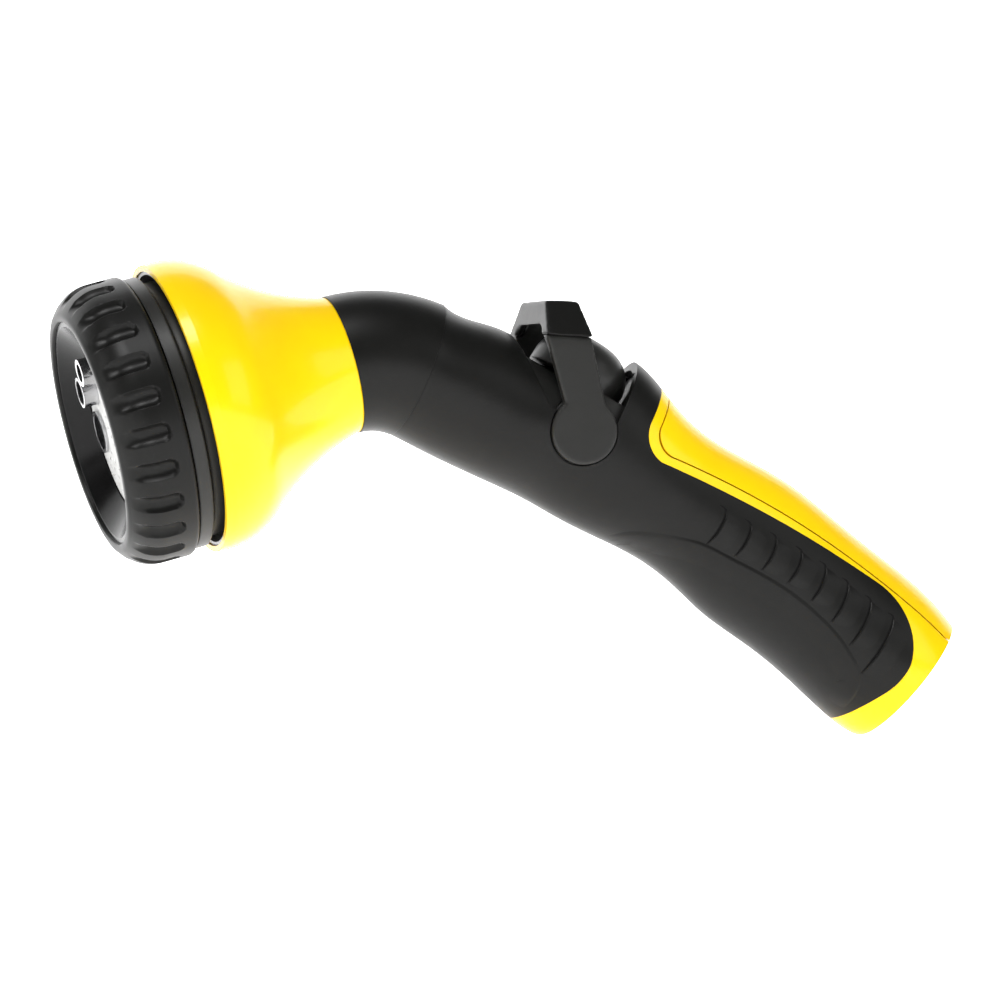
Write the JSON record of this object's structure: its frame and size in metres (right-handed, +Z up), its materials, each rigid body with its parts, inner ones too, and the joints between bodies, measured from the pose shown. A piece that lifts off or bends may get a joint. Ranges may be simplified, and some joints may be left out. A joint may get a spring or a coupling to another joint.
{
  "type": "hose spray nozzle",
  "caption": "Hand-held hose spray nozzle with a turning pattern selector, a thumb-lever valve and a threaded hose inlet.",
  "frame": {"origin": "centre of the hose inlet's mouth in the end of the handle", "axes": "-X is the way the spray leaves, +Z is up as the nozzle is held, Y is across; the body is symmetric about Y = 0"},
  "size_m": [0.246, 0.079, 0.1273],
  "materials": {
    "yellow_plastic": "gloss",
    "body_rubber": "satin",
    "black_plastic": "satin",
    "cup_plastic": "gloss",
    "grey_plastic": "satin",
    "face_plastic": "gloss",
    "inner_plastic": "satin",
    "chrome": "polished",
    "steel": "satin",
    "brass": "satin",
    "seal_rubber": "matte"
  },
  "bodies": {
    "frame": {"bell_housing": "yellow_plastic", "bell_liner": "grey_plastic", "head_manifold": "black_plastic", "neck_elbow": "body_rubber", "grip_overmould": "body_rubber", "handle_core": "yellow_plastic", "handle_cover": "yellow_plastic", "valve_bonnet": "black_plastic", "neck_tube": "inner_plastic", "neck_o_ring_front": "seal_rubber", "neck_o_ring_rear": "seal_rubber", "port_seal": "seal_rubber", "port_seal_spring": "steel", "detent_pin": "brass", "detent_spring": "steel", "turret_screw": "steel", "turret_washer": "steel", "valve_body": "black_plastic", "rotor_bushes": "inner_plastic", "rotor_o_rings": "seal_rubber", "valve_seats": "seal_rubber", "water_tube": "inner_plastic", "inlet_o_ring": "seal_rubber", "valve_o_ring": "seal_rubber", "inlet_fitting": "black_plastic", "filter_screen": "steel", "hose_washer": "seal_rubber"},
    "selector": {"selector_ring": "body_rubber", "selector_cup": "cup_plastic", "spray_face": "face_plastic", "pattern_plate": "inner_plastic", "cone_nozzle": "chrome", "jet_nozzle": "chrome", "side_nozzles": "cup_plastic", "mist_nozzle": "chrome"},
    "lever": {"thumb_lever": "black_plastic", "lever_pad": "body_rubber", "valve_rotor": "inner_plastic"}
  },
  "joints": [
    {"name": "selector_turn", "type": "hinge", "parent": "frame", "child": "selector", "pos_m": [-0.15682, 0, 0.08457], "axis": [-0.9655, 0, -0.2605], "continuous": true},
    {"name": "lever_swing", "type": "hinge", "parent": "frame", "child": "lever", "pos_m": [-0.09446, 0, 0.06691], "axis": [0, 1, 0], "range_deg": [0, 38]}
  ]
}
